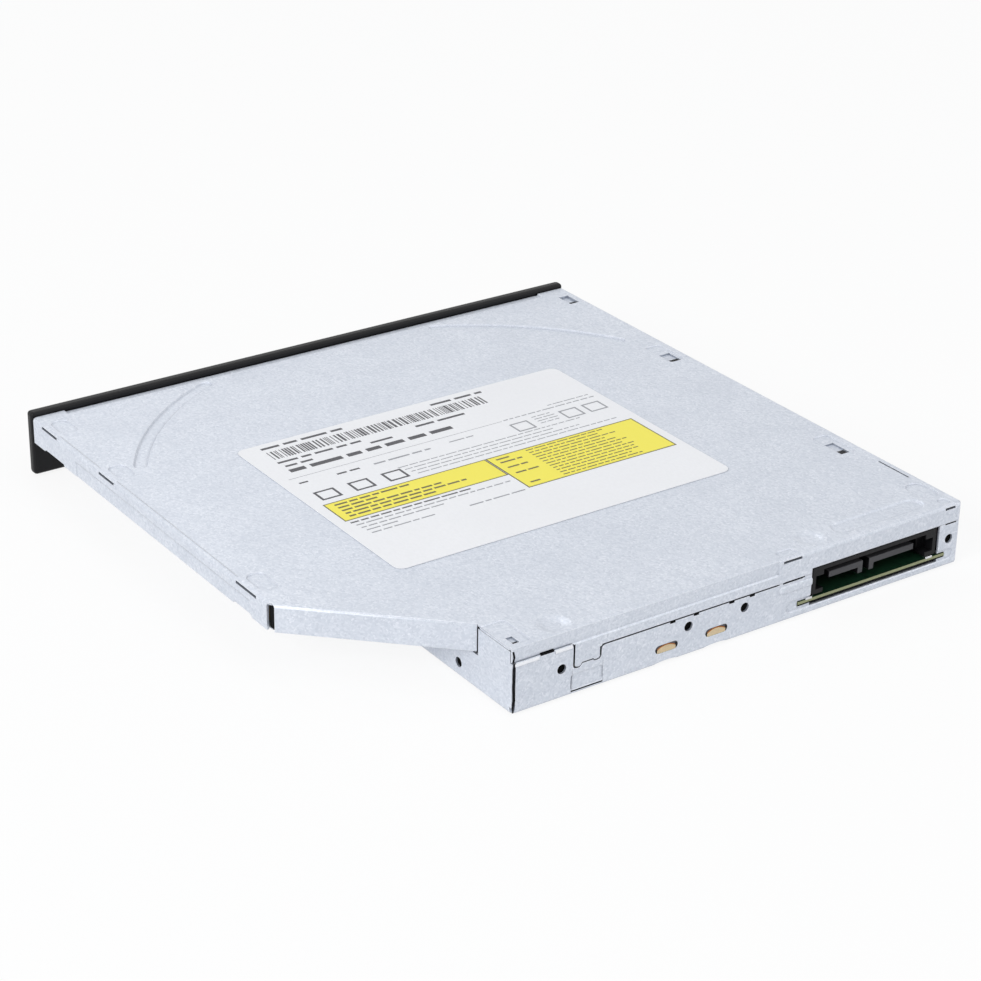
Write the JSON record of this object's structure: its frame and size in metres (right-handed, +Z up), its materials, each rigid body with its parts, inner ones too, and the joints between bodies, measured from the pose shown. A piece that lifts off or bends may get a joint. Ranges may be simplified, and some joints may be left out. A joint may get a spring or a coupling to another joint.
{
  "type": "slim tray-load optical disc drive",
  "caption": "Slim laptop optical drive: a tray on telescoping rails slides out of a sheet-metal case, with spindle, laser sled, lock lever and rear connector.",
  "frame": {"origin": "on the bottom plane, at the centre of the case's width and depth, straight below the spindle", "axes": "+X to the drive's right seen from its front, -Y to the front bezel, +Z up to the label side"},
  "size_m": [0.1284, 0.1293, 0.0135],
  "materials": {
    "steel": "galvanised sheet, fine spangle",
    "bright_steel": "bright plated",
    "label_paper": "printed paper film",
    "black_plastic": "moulded, fine texture",
    "grey_plastic": "moulded",
    "beige_plastic": "moulded",
    "board_green": "solder mask",
    "black_paint": "satin black",
    "rubber": "matte",
    "copper_film": "polyimide film",
    "clear_lens": "polished",
    "led_plastic": "clear green"
  },
  "bodies": {
    "case": {"bottom_case": "steel", "top_cover": "steel", "label": "label_paper", "connector_board": "board_green", "connector_housing": "black_plastic", "rear_flex_connector": "grey_plastic", "left_guide": "beige_plastic", "right_guide": "beige_plastic", "lock_pin": "bright_steel", "corner_stop": "beige_plastic", "case_screw_1": "bright_steel", "case_screw_2": "bright_steel", "case_screw_3": "bright_steel", "flex_cable": "copper_film"},
    "right_rail": {"right_rail": "bright_steel"},
    "left_rail": {"left_rail": "bright_steel"},
    "tray": {"tray": "black_plastic", "bezel": "black_plastic", "led_lens": "led_plastic", "button_board": "board_green", "eject_switch": "grey_plastic", "tray_underplate": "steel", "underplate_screw_1": "bright_steel", "underplate_screw_2": "bright_steel", "main_board": "board_green", "controller_chip": "black_plastic", "motor_driver_chip": "black_plastic", "tray_flex_connector": "grey_plastic", "deck_frame": "black_paint", "deck_cover": "black_paint", "rubber_mount_1": "rubber", "rubber_mount_2": "rubber", "rubber_mount_3": "rubber", "deck_screw_1": "bright_steel", "deck_screw_2": "bright_steel", "deck_screw_3": "bright_steel", "guide_rod_1": "bright_steel", "guide_rod_2": "bright_steel", "feed_motor": "bright_steel", "spindle_base": "steel", "solenoid": "steel", "eject_pusher": "beige_plastic", "eject_spring": "bright_steel"},
    "eject_button": {"eject_button": "black_plastic"},
    "spindle": {"spindle_hub": "black_plastic"},
    "claw_1": {"disc_claw_1": "grey_plastic"},
    "claw_2": {"disc_claw_2": "grey_plastic"},
    "claw_3": {"disc_claw_3": "grey_plastic"},
    "sled": {"sled": "grey_plastic", "sled_nut": "beige_plastic"},
    "lens": {"lens_holder": "black_plastic", "objective_lens": "clear_lens"},
    "lead_screw": {"lead_screw": "bright_steel"},
    "latch": {"latch_lever": "bright_steel"},
    "plunger": {"plunger": "bright_steel"}
  },
  "joints": [
    {"name": "tray_slide", "type": "slide", "parent": "case", "child": "tray", "axis": [0, -1, 0], "range_m": [0, 0.13], "deforming": ["flex_cable"]},
    {"name": "right_rail_slide", "type": "slide", "parent": "case", "child": "right_rail", "axis": [0, -1, 0], "range_m": [0, 0.066]},
    {"name": "left_rail_slide", "type": "slide", "parent": "case", "child": "left_rail", "axis": [0, -1, 0], "range_m": [0, 0.066]},
    {"name": "eject_button_press", "type": "slide", "parent": "tray", "child": "eject_button", "axis": [0, 1, 0], "range_m": [0, 0.0005], "stiffness_N_per_m": 400},
    {"name": "spindle_spin", "type": "hinge", "parent": "tray", "child": "spindle", "pos_m": [0, 0, 0.009], "axis": [0, 0, 1], "continuous": true},
    {"name": "claw_1_press", "type": "slide", "parent": "spindle", "child": "claw_1", "axis": [0, -1, 0], "range_m": [0, 0.0006], "stiffness_N_per_m": 300},
    {"name": "claw_2_press", "type": "slide", "parent": "spindle", "child": "claw_2", "axis": [0.866, 0.5, 0], "range_m": [0, 0.0006], "stiffness_N_per_m": 300},
    {"name": "claw_3_press", "type": "slide", "parent": "spindle", "child": "claw_3", "axis": [-0.866, 0.5, 0], "range_m": [0, 0.0006], "stiffness_N_per_m": 300},
    {"name": "sled_feed", "type": "slide", "parent": "tray", "child": "sled", "axis": [-0.7071, -0.7071, 0], "range_m": [0, 0.033]},
    {"name": "lens_focus", "type": "slide", "parent": "sled", "child": "lens", "axis": [0, 0, 1], "range_m": [-0.0004, 0.0004], "stiffness_N_per_m": 40},
    {"name": "lead_screw_spin", "type": "hinge", "parent": "tray", "child": "lead_screw", "pos_m": [0, -0.02828, 0.0059], "axis": [-0.7071, -0.7071, 0], "range_deg": [-3961, 0]},
    {"name": "latch_swing", "type": "hinge", "parent": "tray", "child": "latch", "pos_m": [0.027, -0.03, 0.0053], "axis": [0, 0, 1], "range_deg": [0, 14]},
    {"name": "plunger_pull", "type": "slide", "parent": "tray", "child": "plunger", "axis": [0, -1, 0], "range_m": [0, 0.0023]}
  ],
  "couplings": [
    {"joint": "right_rail_slide", "follows": "tray_slide", "ratio": 0.5},
    {"joint": "left_rail_slide", "follows": "tray_slide", "ratio": 0.5},
    {"joint": "lead_screw_spin", "follows": "sled_feed", "rad_per_m": -2094.4},
    {"joint": "plunger_pull", "follows": "latch_swing", "m_per_rad": 0.009}
  ]
}
